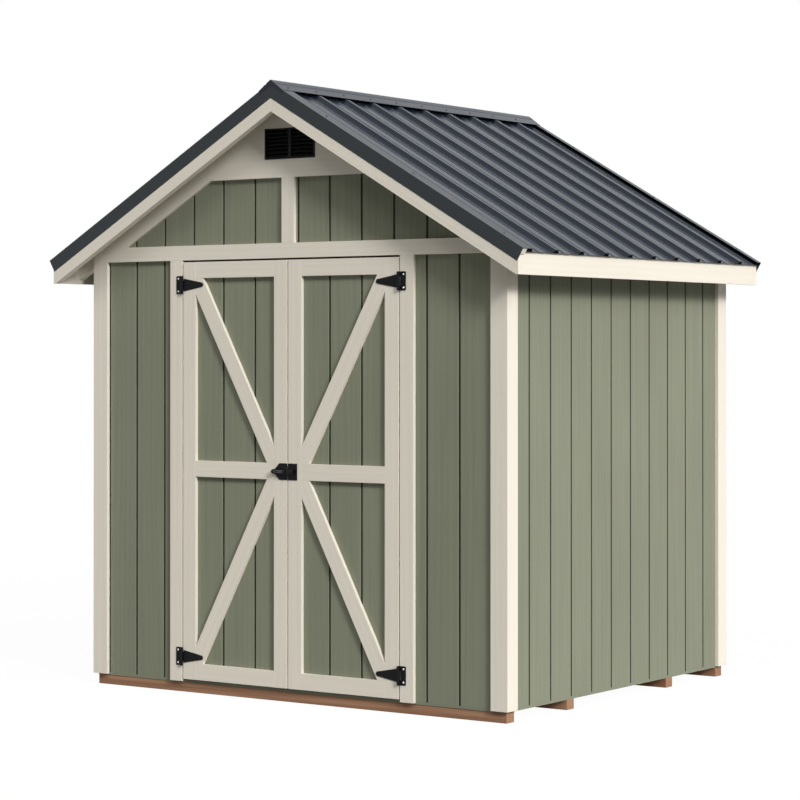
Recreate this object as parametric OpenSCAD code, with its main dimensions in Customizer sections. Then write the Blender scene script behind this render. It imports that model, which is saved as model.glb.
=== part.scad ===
// Gable garden shed: grooved board walls on four timber skids, trim boards,
// a ribbed metal roof, a gable louvre and a pair of braced doors on T hinges.
// Millimetres. X runs across the front, Y from the front to the back, Z up.
// The origin lies on the ground, midway along the roof in X and Y.

/* [Overall] */
// Width over the corner boards
width = 2470; // [2050:10:3000]
// Depth over the corner boards
depth = 2105; // [1700:5:2600]
// Height of a side wall, from the floor deck to the roof deck
side_wall_h = 2130; // [2128:5:2600]
// Pitch of the roof, in degrees
roof_angle = 30.1; // [25:0.1:38]

/* [Floor] */
// Width of a skid
skid_w = 64; // [45:1:100]
// Height of a skid
skid_h = 48; // [38:1:100]
// Distance from an outer skid to the inner one beside it, on centres
skid_step = 523; // [300:1:650]
// Thickness of the floor deck
floor_t = 12; // [9:1:22]

/* [Walls] */
// Thickness of the wall boarding
siding_t = 11; // [9:1:16]
// Thickness of the trim boards
trim_t = 19; // [12:1:25]
// Face width of a corner board on the front and back
corner_w = 91; // [70:1:120]
// Width of a corner on the side walls
corner_side_w = 88; // [70:1:120]
// How far the trim boards hang below the boarding
trim_drop = 6; // [0:1:10]
// Width of the upright board in each gable
gable_post_w = 75; // [50:1:100]
// Height of the board across the front over the doors
header_band_h = 72; // [50:1:100]
// Depth of the sloping boards under the roof, square to the slope
frieze_w = 99; // [70:1:130]
// Height of the roof's ridge above the foot of the peak board
peak_drop = 392; // [360:1:440]

/* [Framing] */
// Width of a stud, plate or rafter
stud_w = 38; // [32:1:50]
// Depth of a stud, plate or rafter
stud_d = 64; // [50:1:90]
// Length of the seat that a rafter is notched with
rafter_seat = 35; // [20:1:45]
// Thickness of the ridge board
ridge_board_t = 19; // [16:1:38]
// Height of the ridge board
ridge_board_h = 95; // [85:1:120]
// Height of the beam over the doors
header_h = 89; // [64:1:140]
// Number of bays between rafters
rafter_bays = 4; // [3:1:6]

/* [Roof] */
// Overhang of the roof at the front
front_overhang = 140; // [80:1:220]
// Overhang of the roof at the back
back_overhang = 58; // [45:1:220]
// Overhang of the eaves past the corner boards
eave_overhang = 145; // [90:1:220]
// Thickness of the roof deck
deck_t = 22; // [12:1:28]
// Depth of a rake board, square to the slope
rake_w = 99.5; // [80:0.5:120]
// Thickness of a rake board
rake_t = 36; // [19:1:40]
// Height of an eave fascia on its outer face
fascia_h = 107.5; // [90:0.5:130]
// Thickness of the roof sheet
sheet_t = 1.5; // [1:0.1:2]
// How far the roof sheet reaches past the fascia
sheet_drip = 12; // [0:1:30]
// Height of a main rib
rib_h = 16; // [10:0.5:30]
// Width of a main rib at its foot
rib_base = 50; // [40:1:60]
// Width of a main rib at its top
rib_top = 22; // [12:1:30]
// Distance between main ribs
rib_pitch = 224; // [180:1:230]
// Distance from the front edge of the roof to the first rib
rib_first = 73; // [60:1:110]
// Height of a stiffening rib
minor_h = 3; // [2:0.5:5]
// Width of a stiffening rib at its foot
minor_base = 16; // [10:1:24]
// Width of the top of the front rake trim
rake_trim_w = 80; // [60:1:90]
// Width of the top of the back rake trim
back_trim_w = 42; // [25:1:60]
// Height of the rake trims over the ribs
rake_trim_rise = 0.9; // [0.5:0.1:12]
// How far a rake trim hangs below the roof deck
rake_trim_drop = 22.5; // [10:0.5:30]
// How far a rake trim runs past the roof sheet
rake_trim_past = 5; // [0:1:20]
// Thickness of the metal trims
metal_t = 1.5; // [1:0.1:2.5]
// Half width of the ridge cap
cap_half_w = 70; // [60:1:120]
// Half width of the cap's crown, between its folds
cap_crown = 28; // [15:1:40]
// How much higher the cap stands at the ridge than at its edges, square to the slope
cap_rise = 9; // [2:0.5:16]
// Height of the plates that close the ends of the cap
cap_end_h = 14; // [8:1:24]

/* [Doors] */
// Width over the pair of doors
door_w = 1290; // [1000:2:1400]
// Sideways offset of the doorway and of the upright over it
door_x = -5; // [-20:1:20]
// Height of a door
door_h = 2043; // [1700:1:2043]
// Gap between the two doors
door_mid_gap = 7; // [6.5:0.5:10]
// Gap between a door and its casing
door_side_gap = 6.5; // [5:0.5:8]
// Gap above a door
door_top_gap = 9; // [6:1:15]
// Gap between a door and the floor deck
door_lift = 6; // [5:1:15]
// Width of the boards on the doors
board_w = 79; // [60:1:95]
// Width of a door casing
casing_w = 76; // [60:1:95]
// Width of a brace
brace_w = 76; // [50:1:95]
// Height of the middle rail's centre above the foot of the door
mid_rail_h = 1033; // [850:1:1150]

/* [Hinges] */
// Length of a hinge strap from the pin
strap_len = 130; // [80:1:180]
// Width of a strap beside the pin
strap_w = 62; // [40:1:70]
// Width of a strap at its tip
strap_tip_w = 22; // [12:1:30]
// Width of a hinge plate from the pin
plate_len = 38; // [30:1:60]
// Height of a hinge plate
plate_h = 88; // [70:1:110]
// Thickness of the plates and straps
hinge_t = 3; // [2:0.5:4]
// Radius of a hinge knuckle
knuckle_r = 7.5; // [5:0.5:8]
// Radius of a hinge pin
pin_r = 3; // [2:0.5:4]
// Height of the knuckle on the strap
strap_knuckle_h = 42; // [30:1:50]
// Distance from a rail's edge to the centre of the hinge beside it
hinge_inset = 32; // [20:1:80]

/* [Latch] */
// Height of the latch plates
latch_h = 79; // [60:1:82]
// Length of the point of the plate under the bolt
case_point = 40; // [15:1:40]
// Length of the catch plate
catch_len = 53; // [35:1:60]
// Radius of the bolt
bolt_r = 8; // [6:0.5:10]
// Travel of the bolt
bolt_travel = 30; // [20:1:30]

/* [Vent] */
// Width of the louvre
vent_w = 300; // [200:5:340]
// Height of the louvre
vent_h = 147; // [100:1:160]
// Height from the foot of the peak board to the foot of the louvre
vent_rise = 88; // [60:1:100]
// Sideways offset of the louvre
vent_x = 8; // [-20:1:20]
// Number of slats on each side
vent_slats = 7; // [4:1:8]

/* [Hidden] */

// Clearances
running = 0.3;      // between a pin or a bolt and its bore
loose = 0.5;        // between a knuckle and the boards behind it
sheet_seat = 0.1;   // between the roof deck and the sheet on it
joint_gap = 0.5;    // in a mitre between two boards
neck = 1;           // between a knuckle and the plate beside it
ridge_gap = 20;     // between the ridge and the end of a roof sheet
cut = 1;            // how far a cutting shape runs past what it cuts
$fn = 48;

// Heights
floor_top = skid_h + floor_t;
trim_z = floor_top - trim_drop;
door_z = floor_top + door_lift;
door_top = door_z + door_h;
band_z = door_top + door_top_gap;
band_top = band_z + header_band_h;

// Places across the width
side_x = width / 2;
siding_x = side_x - trim_t;
frame_x = siding_x - siding_t;
inner_x = frame_x - stud_d;
fascia_x = side_x + eave_overhang;
tail_x = fascia_x - trim_t;
corner_x = side_x - corner_w;
leaf_x = door_w / 2;
casing_x = leaf_x + door_side_gap;

// Places along the depth, from the front face of the trim
siding_y = trim_t;
frame_y = siding_y + siding_t;
inner_y = frame_y + stud_d;
roof_y0 = -front_overhang;
roof_y1 = depth + back_overhang;
rake_y0 = roof_y0 + metal_t;
rake_y1 = roof_y1 - metal_t;
mid_y = (roof_y0 + roof_y1) / 2;

// Roof planes. A lift is measured square to the slope, from the deck's underside.
run_down = tan(roof_angle);
ridge_z = floor_top + side_wall_h + siding_x * run_down;
peak_z = ridge_z - peak_drop;
sheet_lift = deck_t + sheet_seat;
pan_lift = sheet_lift + sheet_t;
rib_lift = pan_lift + rib_h;
trim_lift = rib_lift + rake_trim_rise;
trim_top = trim_lift + metal_t;
cap_under = trim_top + running;
rafter_lift = -stud_d;
roof_end = fascia_x / cos(roof_angle);
sheet_end = (fascia_x + sheet_drip) / cos(roof_angle);
sheet_run = sheet_end - sheet_lift * run_down;
trim_end = sheet_run + rake_trim_past;
plate_x = frame_x - rafter_seat;
plate_top = ridge_z - plate_x * run_down + rafter_lift / cos(roof_angle);

// Point on a plumb line at x, with a given lift
function plumb(x, lift) = [x, ridge_z - x * run_down + lift / cos(roof_angle)];
// Point at a distance down the slope, with a given lift
function down(s, lift) = [
    s * cos(roof_angle) + lift * sin(roof_angle),
    ridge_z - s * sin(roof_angle) + lift * cos(roof_angle)
];

// Colours
siding_color = "#7f826f";
trim_color = "#d0c7ba";
timber_color = "#9c7558";
deck_color = "#b59a78";
frame_color = "#c9ab7c";
metal_color = "#565b63";
dark_metal_color = "#33383a";
black_color = "#1c1c1e";

// ---- Helpers ----

// Moves the shed so that the middle of its roof lies over the origin
module placed() {
    translate([0, -mid_y, 0]) children();
}

// The same for the parts that keep to the middle of the doorway
module at_doorway() {
    translate([door_x, 0, 0]) placed() children();
}

// Extrudes an outline drawn in X and Z from y0 to y1
module across(y0, y1) {
    translate([0, y1, 0]) rotate([90, 0, 0]) linear_extrude(y1 - y0) children();
}

// A box between two corners
module block(from, to) {
    translate(from) cube(to - from);
}

// A copy on each side of the centre line
module both_sides() {
    children();
    mirror([1, 0, 0]) children();
}

// One copy at the front and one turned to face the back
module both_ends() {
    children();
    translate([0, depth, 0]) mirror([0, 1, 0]) children();
}

// Outline of a slab that follows the slope between two plumb cuts
module slope_slab(x0, x1, low, high) {
    polygon([plumb(x0, low), plumb(x1, low), plumb(x1, high), plumb(x0, high)]);
}

// Outline of the gable under the roof deck, above a height and inside a half width
module gable_outline(low_z, half_w) {
    polygon([
        [-half_w, low_z], [half_w, low_z], plumb(half_w, 0), plumb(0, 0),
        [-half_w, plumb(half_w, 0)[1]]
    ]);
}

// ---- Floor ----

skid_inset = 3;     // from the edge of the floor deck to the skid under it
skid_y = siding_y + skid_inset;
skid_last_y = depth - skid_y - skid_w;

module skids() {
    color(timber_color) placed()
        for (y = [skid_y, skid_y + skid_step, skid_last_y - skid_step, skid_last_y])
            block([-siding_x, y, 0], [siding_x, y + skid_w, skid_h]);
}

module floor_deck() {
    color(deck_color) placed()
        block([-siding_x, siding_y, skid_h], [siding_x, depth - siding_y, floor_top]);
}

// ---- Boarding ----

// The wall beside the doorway, which lies off the middle by a given distance
module front_panel(off) {
    block([casing_x + off, siding_y, floor_top], [siding_x, frame_y, band_z]);
}

module front_wall_left() {
    color(siding_color) placed() mirror([1, 0, 0]) front_panel(-door_x);
}

module front_wall_right() {
    color(siding_color) placed() front_panel(door_x);
}

vent_z = peak_z + vent_rise;
vent_flange = 6;    // width of the flange around the louvre's body
vent_fit = 1;       // gap between the louvre's body and its hole

module vent_hole() {
    translate([vent_x - vent_w / 2 + vent_flange - vent_fit, vent_z + vent_flange - vent_fit])
        square([vent_w - 2 * (vent_flange - vent_fit), vent_h - 2 * (vent_flange - vent_fit)]);
}

module front_gable() {
    color(siding_color) placed() across(siding_y, frame_y) difference() {
        gable_outline(band_z, siding_x);
        vent_hole();
    }
}

module side_panel() {
    across(frame_y, depth - frame_y) polygon([
        [frame_x, floor_top], [siding_x, floor_top],
        plumb(siding_x, rafter_lift), plumb(frame_x, rafter_lift)
    ]);
}

module left_wall() {
    color(siding_color) placed() mirror([1, 0, 0]) side_panel();
}

module right_wall() {
    color(siding_color) placed() side_panel();
}

module back_wall() {
    color(siding_color) placed() across(depth - frame_y, depth - siding_y)
        gable_outline(floor_top, siding_x);
}

// ---- Framing ----

bottom_plate_top = floor_top + stud_w;
top_plate_z = plate_top - stud_w;
jamb_x = casing_x + stud_w;
header_top = band_z + header_h;

module side_plates() {
    color(frame_color) placed() both_sides()
        for (z = [floor_top, top_plate_z])
            block([inner_x, frame_y, z], [frame_x, depth - frame_y, z + stud_w]);
}

// Plates on one side of the doorway
module front_plates(off) {
    block([casing_x + off, frame_y, floor_top], [inner_x, inner_y, bottom_plate_top]);
    block([jamb_x + off, frame_y, top_plate_z], [inner_x, inner_y, plate_top]);
}

module end_plates() {
    color(frame_color) placed() {
        front_plates(door_x);
        mirror([1, 0, 0]) front_plates(-door_x);
        for (z = [floor_top, top_plate_z])
            block([-inner_x, depth - inner_y, z], [inner_x, depth - frame_y, z + stud_w]);
    }
}

module side_studs() {
    first = frame_y;
    last = depth - frame_y - stud_w;
    color(frame_color) placed() both_sides()
        for (i = [0 : rafter_bays])
            translate([inner_x, first + i * (last - first) / rafter_bays, bottom_plate_top])
                cube([stud_d, stud_w, top_plate_z - bottom_plate_top]);
}

// A stud in an end wall, from the front face of its frame
module end_stud(x, low_z, high_z) {
    block([x, frame_y, low_z], [x + stud_w, inner_y, high_z]);
}

// A stud in a gable, cut to the slope of the end rafter
module gable_stud(x, low_z) {
    across(frame_y, inner_y) polygon([
        [x, low_z], [x + stud_w, low_z],
        plumb(x + stud_w, rafter_lift), plumb(x, rafter_lift)
    ]);
}

gable_stud_x = vent_w / 2 + stud_w;

// Studs on one side of the doorway
module front_studs(off) {
    middle_x = (jamb_x + off + inner_x - 2 * stud_w) / 2;
    end_stud(casing_x + off, bottom_plate_top, band_z);
    end_stud(middle_x, bottom_plate_top, top_plate_z);
    end_stud(inner_x - stud_w, bottom_plate_top, top_plate_z);
    gable_stud(gable_stud_x, header_top);
}

module end_studs() {
    back_x = (inner_x - stud_w / 2) / 2 - stud_w / 2;
    color(frame_color) placed() {
        front_studs(door_x);
        mirror([1, 0, 0]) front_studs(-door_x);
        end_stud(-stud_w / 2, header_top, peak_z + vent_rise / 2);
        translate([0, depth, 0]) mirror([0, 1, 0]) {
            both_sides() {
                end_stud(back_x, bottom_plate_top, top_plate_z);
                end_stud(inner_x - stud_w, bottom_plate_top, top_plate_z);
                gable_stud(gable_stud_x, plate_top);
            }
            end_stud(-stud_w / 2, bottom_plate_top, top_plate_z);
            end_stud(-stud_w / 2, plate_top, ridge_board_z);
        }
    }
}

module door_header() {
    color(frame_color) at_doorway()
        block([-jamb_x, frame_y, band_z], [jamb_x, inner_y, header_top]);
}

ridge_board_top = plumb(ridge_board_t / 2, 0)[1];
ridge_board_z = ridge_board_top - ridge_board_h;

module ridge_board() {
    color(frame_color) placed()
        block([-ridge_board_t / 2, frame_y, ridge_board_z],
            [ridge_board_t / 2, depth - frame_y, ridge_board_top]);
}

// Distance from one rafter to the next
rafter_step = (depth - 2 * frame_y - stud_w) / rafter_bays;

module rafters() {
    color(frame_color) placed() both_sides()
        for (i = [0 : rafter_bays])
            translate([0, frame_y + i * rafter_step, 0]) across(0, stud_w) polygon([
                plumb(ridge_board_t / 2, 0), plumb(ridge_board_t / 2, rafter_lift),
                [plate_x, plate_top], [frame_x, plate_top], plumb(frame_x, rafter_lift),
                plumb(tail_x, rafter_lift), plumb(tail_x, 0)
            ]);
}

// Blocks that close the eaves between the rafters, over the side walls
module eave_blocks() {
    color(frame_color) placed() both_sides()
        for (i = [0 : rafter_bays - 1])
            translate([0, frame_y + i * rafter_step + stud_w, 0])
                across(0, rafter_step - stud_w) polygon([
                    [frame_x - stud_w / 2, plate_top], [frame_x, plate_top],
                    plumb(frame_x, 0), plumb(frame_x - stud_w / 2, 0)
                ]);
}

// ---- Roof ----

module half_deck() {
    across(rake_y0 + rake_t, rake_y1 - rake_t) slope_slab(0, tail_x, 0, deck_t);
}

module roof_deck_left() {
    color(deck_color) placed() mirror([1, 0, 0]) half_deck();
}

module roof_deck_right() {
    color(deck_color) placed() half_deck();
}

rib_y0 = roof_y0 + rib_first;
rib_last_y = roof_y1 - back_trim_w - rib_base;
rib_count = floor((rib_last_y - rib_y0) / rib_pitch) + 1;

// Outline of one rib, standing on the pan of the sheet
function rib_points(y, base, top, height) = [
    [y - base / 2, 0], [y - top / 2, height], [y + top / 2, height], [y + base / 2, 0]
];

// A stiffening rib, left out where the back rake trim stands
function minor_points(y) =
    y < roof_y1 - back_trim_w - minor_base
        ? rib_points(y, minor_base, minor_base / 2, minor_h) : [];

// A main rib and the two stiffening ribs behind it
function bay_points(y) = concat(
    rib_points(y, rib_base, rib_top, rib_h),
    minor_points(y + rib_pitch / 3),
    minor_points(y + rib_pitch * 2 / 3)
);

sheet_y0 = rake_y0 + running;
sheet_y1 = rake_y1 - running;
sheet_line = concat(
    [[sheet_y0, 0]],
    [for (i = [0 : rib_count - 1]) for (p = bay_points(rib_y0 + i * rib_pitch)) p],
    [[sheet_y1, 0]]
);

// Moves a shape drawn along X, with Z square to it, onto the slope
module on_slope() {
    translate([0, 0, ridge_z]) rotate([0, roof_angle, 0]) children();
}

module half_sheet() {
    low = [for (p = sheet_line) [p[0], p[1] + sheet_lift]];
    high = [for (i = [len(low) - 1 : -1 : 0]) [low[i][0], low[i][1] + sheet_t]];
    on_slope() translate([ridge_gap, 0, 0]) rotate([90, 0, 90])
        linear_extrude(sheet_run - ridge_gap) polygon(concat(low, high));
}

module roof_metal_left() {
    color(metal_color) placed() mirror([1, 0, 0]) half_sheet();
}

module roof_metal_right() {
    color(metal_color) placed() half_sheet();
}

cap_edge_z = plumb(cap_half_w, cap_under)[1];
cap_ridge_z = plumb(0, cap_under + cap_rise)[1];
cap_fold_out = 1;   // how far a fold stands above the line from edge to ridge

// Point above the straight line from an edge of the cap's underside to its ridge
function cap_point(x, up) =
    [x, cap_ridge_z + (cap_edge_z - cap_ridge_z) * x / cap_half_w + up];

// The cap bent over the ridge, with a plate closing each end over the rake trims
module ridge_cap() {
    half = [
        cap_point(0, 0), cap_point(cap_crown, cap_fold_out), cap_point(cap_half_w, 0),
        cap_point(cap_half_w, metal_t), cap_point(cap_crown, cap_fold_out + metal_t),
        cap_point(0, metal_t)
    ];
    end_plate = [
        plumb(0, trim_top - cap_end_h), plumb(cap_half_w, trim_top - cap_end_h),
        cap_point(cap_half_w, metal_t), cap_point(cap_crown, cap_fold_out + metal_t),
        cap_point(0, metal_t)
    ];
    color(metal_color) placed() both_sides() {
        across(roof_y0 - metal_t, roof_y1 + metal_t) polygon(half);
        across(roof_y0 - metal_t, roof_y0) polygon(end_plate);
        across(roof_y1, roof_y1 + metal_t) polygon(end_plate);
    }
}

// Outline of a strip of metal trim, plumb at the ridge and square at the eave
module trim_strip(low, high) {
    start = joint_gap / 2;
    polygon([plumb(start, low), down(trim_end, low), down(trim_end, high), plumb(start, high)]);
}

// A rake trim of a given width, with its inner edge turned down to just over the ribs
module rake_trim(w) {
    across(0, metal_t) trim_strip(-rake_trim_drop, trim_top);
    across(0, w) trim_strip(trim_lift, trim_top);
    across(w - metal_t, w) trim_strip(rib_lift + running, trim_top);
}

module rake_trims() {
    color(dark_metal_color) placed() both_sides() {
        translate([0, roof_y0, 0]) rake_trim(rake_trim_w);
        translate([0, roof_y1, 0]) mirror([0, 1, 0]) rake_trim(back_trim_w);
    }
}

rake_lift = deck_t - rake_w;    // lower edge of a rake board
fascia_z = plumb(fascia_x, deck_t)[1] - fascia_h;
rake_foot_x = (ridge_z + rake_lift / cos(roof_angle) - fascia_z) / run_down;

module rake_board() {
    start = joint_gap / 2;
    across(0, rake_t) polygon([
        plumb(start, rake_lift), [rake_foot_x, fascia_z], [fascia_x, fascia_z],
        plumb(fascia_x, deck_t), plumb(start, deck_t)
    ]);
}

module rake_boards() {
    color(trim_color) placed() both_sides() {
        translate([0, rake_y0, 0]) rake_board();
        translate([0, rake_y1, 0]) mirror([0, 1, 0]) rake_board();
    }
}

module eave_fascias() {
    color(trim_color) placed() both_sides() across(rake_y0 + rake_t, rake_y1 - rake_t) polygon([
        [tail_x, fascia_z], [fascia_x, fascia_z], plumb(fascia_x, deck_t), plumb(tail_x, deck_t)
    ]);
}

// ---- Trim boards on the walls ----

module corner_trim() {
    across(0, trim_t) polygon([
        [corner_x, trim_z], [side_x, trim_z], plumb(side_x, 0), plumb(corner_x, 0)
    ]);
    across(trim_t, corner_side_w) polygon([
        [siding_x, trim_z], [side_x, trim_z],
        plumb(side_x, rafter_lift), plumb(siding_x, rafter_lift)
    ]);
}

module corner_trims() {
    color(trim_color) placed() both_ends() both_sides() corner_trim();
}

module door_casings() {
    color(trim_color) at_doorway() both_sides()
        block([casing_x, 0, trim_z], [casing_x + casing_w, trim_t, band_z]);
}

module header_band() {
    color(trim_color) placed() block([-corner_x, 0, band_z], [corner_x, trim_t, band_top]);
}

module front_gable_post() {
    color(trim_color) at_doorway()
        block([-gable_post_w / 2, 0, band_top], [gable_post_w / 2, trim_t, peak_z]);
}

// Half width of the peak board, where its foot meets the sloping boards
peak_x = (ridge_z - frieze_w / cos(roof_angle) - peak_z) / run_down;

module front_peak_board() {
    color(trim_color) placed() across(0, trim_t) difference() {
        gable_outline(peak_z, peak_x);
        vent_hole();
    }
}

module back_peak_board() {
    color(trim_color) placed() across(depth - trim_t, depth) gable_outline(peak_z, peak_x);
}

module gable_friezes() {
    color(trim_color) placed() both_ends() both_sides() across(0, trim_t) intersection() {
        slope_slab(peak_x, corner_x, -frieze_w, 0);
        translate([0, band_top]) square([side_x, ridge_z - band_top]);
    }
}

module back_batten() {
    color(trim_color) placed()
        block([-gable_post_w / 2, depth - trim_t, trim_z], [gable_post_w / 2, depth, peak_z]);
}

// ---- Louvre ----

vent_frame = 8;     // width of the louvre's border
vent_mullion = 18;  // width of the upright between its two sides
vent_front = 3;     // thickness of its flange
vent_back = 26;     // depth of its body
slat_w = 20;        // width of a slat
slat_t = 2.5;       // thickness of a slat
slat_tilt = 38;     // slope of a slat, in degrees
slat_grip = 1.5;    // how far a slat's ends reach into the border

module gable_vent() {
    left = vent_x - vent_w / 2;
    inner_w = vent_w - 2 * vent_frame;
    inner_h = vent_h - 2 * vent_frame;
    step = inner_h / vent_slats;
    slats_z = vent_z + vent_frame + (step - slat_w * sin(slat_tilt)) / 2;
    color(black_color) placed() {
        difference() {
            union() {
                block([left, -vent_front, vent_z], [left + vent_w, 0, vent_z + vent_h]);
                block([left + vent_flange, 0, vent_z + vent_flange],
                    [left + vent_w - vent_flange, vent_back, vent_z + vent_h - vent_flange]);
            }
            translate([left + vent_frame, -vent_front - cut, vent_z + vent_frame])
                cube([inner_w, vent_back + vent_front + 2 * cut, inner_h]);
        }
        block([vent_x - vent_mullion / 2, -vent_front, vent_z + vent_flange],
            [vent_x + vent_mullion / 2, vent_back, vent_z + vent_h - vent_flange]);
        for (i = [0 : vent_slats - 1])
            translate([left + vent_frame - slat_grip, 0, slats_z + i * step])
                rotate([slat_tilt, 0, 0]) translate([0, 0, -slat_t / 2])
                    cube([inner_w + 2 * slat_grip, slat_w, slat_t]);
    }
}

// ---- Doors ----

leaf_in = door_mid_gap / 2;
stile_in_x = leaf_in + board_w;
stile_out_x = leaf_x - board_w;
mid_z = door_z + mid_rail_h;
foot_rail_top = door_z + board_w;
top_rail_z = door_top - board_w;

module leaf_panel() {
    block([leaf_in, siding_y, door_z], [leaf_x, frame_y, door_top]);
}

module leaf_stiles() {
    block([leaf_in, 0, door_z], [stile_in_x, trim_t, door_top]);
    block([stile_out_x, 0, door_z], [leaf_x, trim_t, door_top]);
}

module leaf_rails() {
    for (z = [door_z, mid_z - board_w / 2, top_rail_z])
        block([stile_in_x, 0, z], [stile_out_x, trim_t, z + board_w]);
}

// A brace between the rails, from low at the middle stile to high at the outer one
module leaf_brace(low_z, high_z, rising) {
    w = stile_out_x - stile_in_x;
    h = high_z - low_z;
    across(0, trim_t) intersection() {
        translate([stile_in_x, low_z]) square([w, h]);
        translate([stile_in_x + w / 2, low_z + h / 2]) rotate((rising ? 1 : -1) * atan2(h, w))
            square([2 * h, brace_w], center = true);
    }
}

module leaf_braces() {
    leaf_brace(mid_z + board_w / 2, top_rail_z, true);
    leaf_brace(foot_rail_top, mid_z - board_w / 2, false);
}

module left_door_panel() {
    color(siding_color) at_doorway() mirror([1, 0, 0]) leaf_panel();
}

module left_door_stiles() {
    color(trim_color) at_doorway() mirror([1, 0, 0]) leaf_stiles();
}

module left_door_rails() {
    color(trim_color) at_doorway() mirror([1, 0, 0]) leaf_rails();
}

module left_door_braces() {
    color(trim_color) at_doorway() mirror([1, 0, 0]) leaf_braces();
}

module right_door_panel() {
    color(siding_color) at_doorway() leaf_panel();
}

module right_door_stiles() {
    color(trim_color) at_doorway() leaf_stiles();
}

module right_door_rails() {
    color(trim_color) at_doorway() leaf_rails();
}

module right_door_braces() {
    color(trim_color) at_doorway() leaf_braces();
}

// ---- Hinges ----

pin_x = leaf_x + door_side_gap / 2;
pin_y = -knuckle_r - loose;
hinge_zs = [foot_rail_top + hinge_inset, top_rail_z - hinge_inset];
plate_corner = 5;   // radius of the plate's outer corners
clear_x = knuckle_r + neck;

// A knuckle or pin around the hinge's axis, from one height to another
module barrel(r, low, high) {
    translate([0, 0, low]) cylinder(r = r, h = high - low);
}

// Outline of the plate in X and Z, with round outer corners
module plate_outline() {
    inset = plate_h / 2 - plate_corner;
    translate([0, -plate_h / 2]) square([plate_len - plate_corner, plate_h]);
    translate([0, -inset]) square([plate_len, 2 * inset]);
    for (side = [-1, 1])
        translate([plate_len - plate_corner, side * inset]) circle(plate_corner);
}

module hinge_plate() {
    half = strap_knuckle_h / 2 + running;
    translate([pin_x, pin_y, 0]) {
        difference() {
            union() {
                barrel(knuckle_r, half, plate_h / 2);
                barrel(knuckle_r, -plate_h / 2, -half);
                translate([0, -pin_y, 0]) across(-hinge_t, 0) plate_outline();
            }
            block([-cut, -2 * knuckle_r, -half], [clear_x, 2 * knuckle_r, half]);
        }
        barrel(pin_r, -plate_h / 2, plate_h / 2);
    }
}

module hinge_strap() {
    half = strap_knuckle_h / 2;
    tip_r = strap_tip_w / 2;
    translate([pin_x, pin_y, 0]) difference() {
        union() {
            barrel(knuckle_r, -half, half);
            translate([0, -pin_y, 0]) across(-hinge_t, 0) {
                polygon([
                    [-clear_x, -strap_w / 2], [-strap_len + tip_r, -tip_r],
                    [-strap_len + tip_r, tip_r], [-clear_x, strap_w / 2]
                ]);
                translate([-strap_len + tip_r, 0]) circle(tip_r);
                translate([-clear_x - cut, -half]) square([clear_x + cut, strap_knuckle_h]);
            }
        }
        barrel(pin_r + running, -half - cut, half + cut);
    }
}

module hinge_plates() {
    color(black_color) at_doorway() both_sides()
        for (z = hinge_zs) translate([0, 0, z]) hinge_plate();
}

module left_hinge_straps() {
    color(black_color) at_doorway() mirror([1, 0, 0])
        for (z = hinge_zs) translate([0, 0, z]) hinge_strap();
}

module right_hinge_straps() {
    color(black_color) at_doorway()
        for (z = hinge_zs) translate([0, 0, z]) hinge_strap();
}

// ---- Latch ----

latch_t = 3;            // thickness of the latch plates
latch_edge = 1;         // from a door's edge to the catch plate
case_over = 2;          // how far the plate under the bolt reaches past its door's edge
latch_lip = 10;         // plate that shows past an outer guide loop
loop_w = 13;            // width of a guide loop
loop_wall = 4;          // metal around the bolt in a loop
knob_r = 5;             // radius of the bolt's knob
knob_len = 14;          // how far the knob stands out of the bolt
knob_gap = 5;           // between the knob and a guide loop at each end of its travel
bolt_stand = 2;         // between the bolt and the latch plate
bolt_back = 1;          // from the edge of the plate to the end of the bolt drawn back
bolt_tail = 8;          // bolt that shows past the outer guide loop
bolt_y = -latch_t - bolt_stand - bolt_r;
case_len = latch_lip + 2 * (loop_w + knob_gap + knob_r) + bolt_travel;
case_end = -leaf_in + case_over;
case_start = case_end - case_len;
catch_start = leaf_in + latch_edge;
loop_xs = [case_start + latch_lip, case_end - loop_w];
knob_x = loop_xs[0] + loop_w + knob_gap + knob_r;
bolt_start = loop_xs[0] - bolt_tail;
bolt_end = case_end - bolt_back;

// A round bar or bore along X at the bolt's place
module rod(r, from_x, to_x) {
    translate([from_x, bolt_y, mid_z]) rotate([0, 90, 0])
        cylinder(r = r, h = to_x - from_x);
}

// A block on the latch plate, around the bolt
module loop_block(from_x, to_x) {
    r = bolt_r + loop_wall;
    block([from_x, bolt_y, mid_z - r], [to_x, -latch_t, mid_z + r]);
    rod(r, from_x, to_x);
}

module latch_case() {
    color(black_color) at_doorway() difference() {
        union() {
            across(-latch_t, 0) polygon([
                [case_start, mid_z], [case_start + case_point, mid_z - latch_h / 2],
                [case_end, mid_z - latch_h / 2], [case_end, mid_z + latch_h / 2],
                [case_start + case_point, mid_z + latch_h / 2]
            ]);
            for (x = loop_xs) loop_block(x, x + loop_w);
        }
        rod(bolt_r + running, case_start - cut, case_end + cut);
    }
}

module latch_bolt() {
    color(black_color) at_doorway() {
        rod(bolt_r, bolt_start, bolt_end);
        translate([knob_x, bolt_y, mid_z]) rotate([90, 0, 0])
            cylinder(r = knob_r, h = bolt_r + knob_len);
    }
}

module latch_catch() {
    catch_end = catch_start + catch_len;
    color(black_color) at_doorway() difference() {
        union() {
            block([catch_start, -latch_t, mid_z - latch_h / 2],
                [catch_end, 0, mid_z + latch_h / 2]);
            loop_block(catch_start, catch_end - latch_lip);
        }
        rod(bolt_r + neck, catch_start - cut, catch_end + cut);
    }
}

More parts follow.
